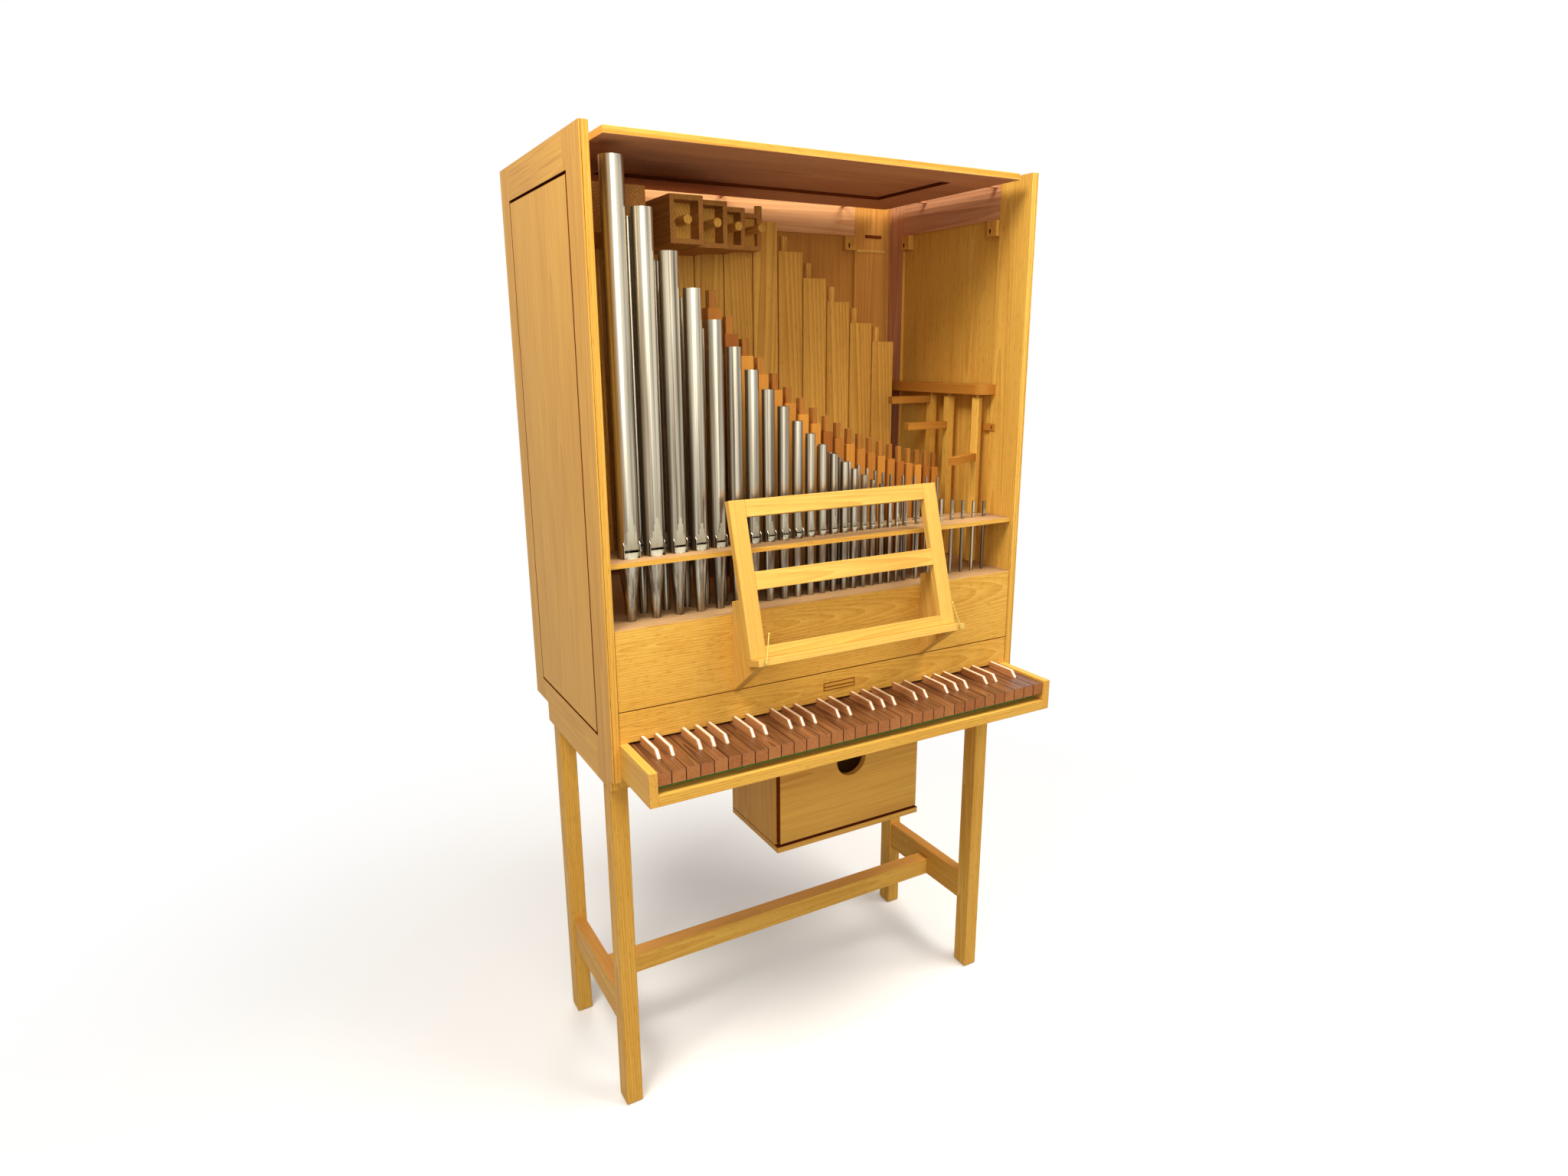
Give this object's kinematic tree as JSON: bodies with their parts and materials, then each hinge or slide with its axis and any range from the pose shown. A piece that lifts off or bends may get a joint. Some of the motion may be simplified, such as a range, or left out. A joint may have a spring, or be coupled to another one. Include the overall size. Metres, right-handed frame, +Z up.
{
  "type": "pipe organ",
  "caption": "Small oak cabinet pipe organ on a leg stand, with a projecting keyboard, music desk, open-front metal and wooden pipes, stop levers and a box hung below.",
  "frame": {"origin": "on the floor under the middle of the whole organ", "axes": "+X to the player's right, +Y from the player to the back, +Z up"},
  "size_m": [0.832, 0.5576, 1.605],
  "materials": {
    "oak": "satin oiled oak",
    "pale_wood": "satin pale oak",
    "red_wood": "satin hardwood",
    "bone": "polished bone",
    "felt": "wool felt",
    "pipe_metal": "tin and lead pipe metal",
    "brass": "dull brass wire"
  },
  "bodies": {
    "organ": {"back_frame": "oak", "back_panel": "oak", "bass_pipe_arms": "oak", "bass_pipes_bent": "oak", "bass_pipes_straight": "oak", "bass_stoppers": "red_wood", "blower_box": "oak", "blower_box_bottom": "oak", "blower_box_front": "oak", "case_floor": "oak", "chest_front": "oak", "desk_brackets": "pale_wood", "desk_ledge": "pale_wood", "desk_rails": "pale_wood", "desk_stiles": "pale_wood", "key_bed": "oak", "key_cheeks": "oak", "key_felt": "felt", "key_slip": "oak", "legs": "oak", "long_stretcher": "oak", "name_board": "oak", "natural_keys": "red_wood", "panel_catches": "oak", "principal_pipes_front": "pipe_metal", "principal_pipes_rear": "pipe_metal", "rack_board": "oak", "roof_battens": "oak", "roof_board": "oak", "sharp_caps": "bone", "sharp_keys": "red_wood", "side_frame_left": "oak", "side_frame_right": "oak", "side_panel_left": "oak", "side_panel_right": "oak", "side_stretchers": "oak", "stop_guide_bar": "oak", "toe_board": "oak", "wood_pipe_handles": "red_wood", "wood_pipes": "red_wood"},
    "stop_1": {"stop_shaft_1": "oak", "stop_handle_1": "red_wood"},
    "stop_2": {"stop_shaft_2": "oak", "stop_handle_2": "red_wood"},
    "stop_3": {"stop_shaft_3": "oak", "stop_handle_3": "red_wood"},
    "holder_left": {"page_holder_left": "brass"},
    "holder_right": {"page_holder_right": "brass"}
  },
  "joints": [
    {"name": "stop_1_turn", "type": "hinge", "parent": "organ", "child": "stop_1", "pos_m": [0.383, 0.07875, 1], "axis": [0, 0, 1], "range_deg": [0, 25]},
    {"name": "stop_2_turn", "type": "hinge", "parent": "organ", "child": "stop_2", "pos_m": [0.383, 0.02275, 1], "axis": [0, 0, 1], "range_deg": [0, 25]},
    {"name": "stop_3_turn", "type": "hinge", "parent": "organ", "child": "stop_3", "pos_m": [0.383, -0.06125, 1], "axis": [0, 0, 1], "range_deg": [-25, 0]},
    {"name": "holder_left_turn", "type": "hinge", "parent": "organ", "child": "holder_left", "pos_m": [-0.194, -0.25776, 0.83293], "axis": [0, -0.9608, 0.2773], "range_deg": [-60, 80]},
    {"name": "holder_right_turn", "type": "hinge", "parent": "organ", "child": "holder_right", "pos_m": [0.194, -0.25776, 0.83293], "axis": [0, -0.9608, 0.2773], "range_deg": [-80, 60]}
  ]
}
